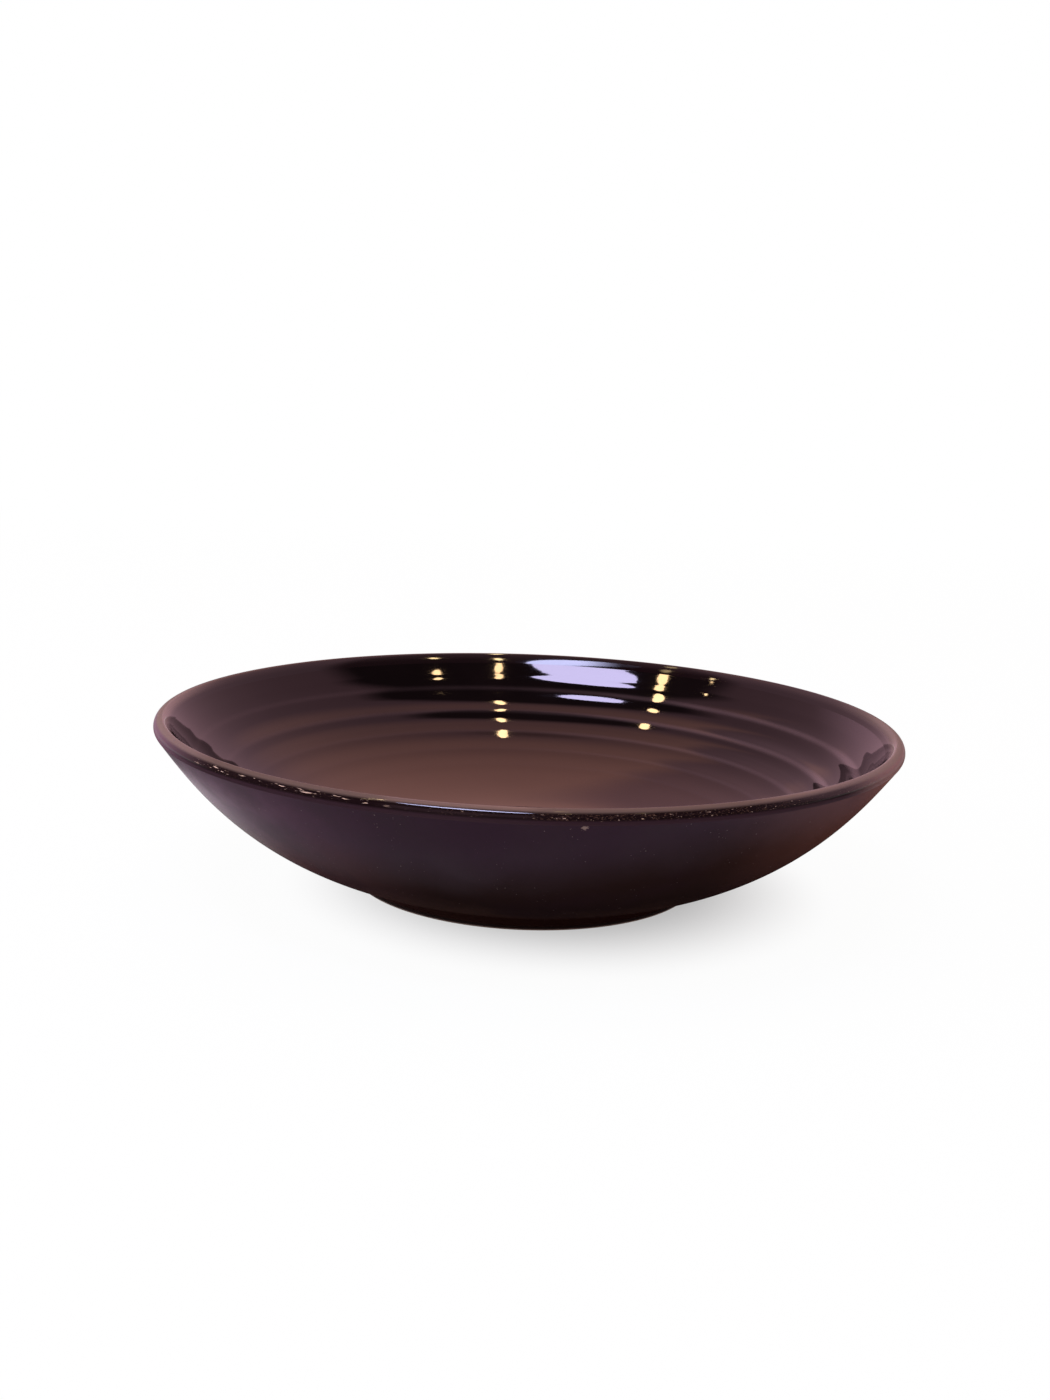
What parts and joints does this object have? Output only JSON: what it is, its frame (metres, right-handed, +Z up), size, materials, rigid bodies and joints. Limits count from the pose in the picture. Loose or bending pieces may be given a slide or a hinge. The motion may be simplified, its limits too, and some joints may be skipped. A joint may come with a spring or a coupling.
{
  "type": "pasta bowl",
  "caption": "Wide shallow stoneware pasta bowl: flared wall, rounded lip, throwing rings inside, dark plum-brown gloss glaze, small turned foot ring.",
  "frame": {"origin": "centre of the foot's resting face, on the table", "axes": "+Z up along the bowl's axis, -Y towards the camera of the picture, +X to the picture's right"},
  "size_m": [0.22, 0.22, 0.05],
  "materials": {
    "body_clay": "bare stoneware",
    "foot_clay": "bare stoneware, sponged smooth",
    "inside_gloss": "gloss",
    "lip_gloss": "gloss, thin and lightly worn",
    "outside_gloss": "gloss",
    "underside_gloss": "gloss"
  },
  "bodies": {
    "root": {"clay_body": "body_clay", "foot_ring": "foot_clay", "inside_glaze": "inside_gloss", "lip_glaze": "lip_gloss", "outside_glaze": "outside_gloss", "underside_glaze": "underside_gloss"}
  },
  "joints": []
}
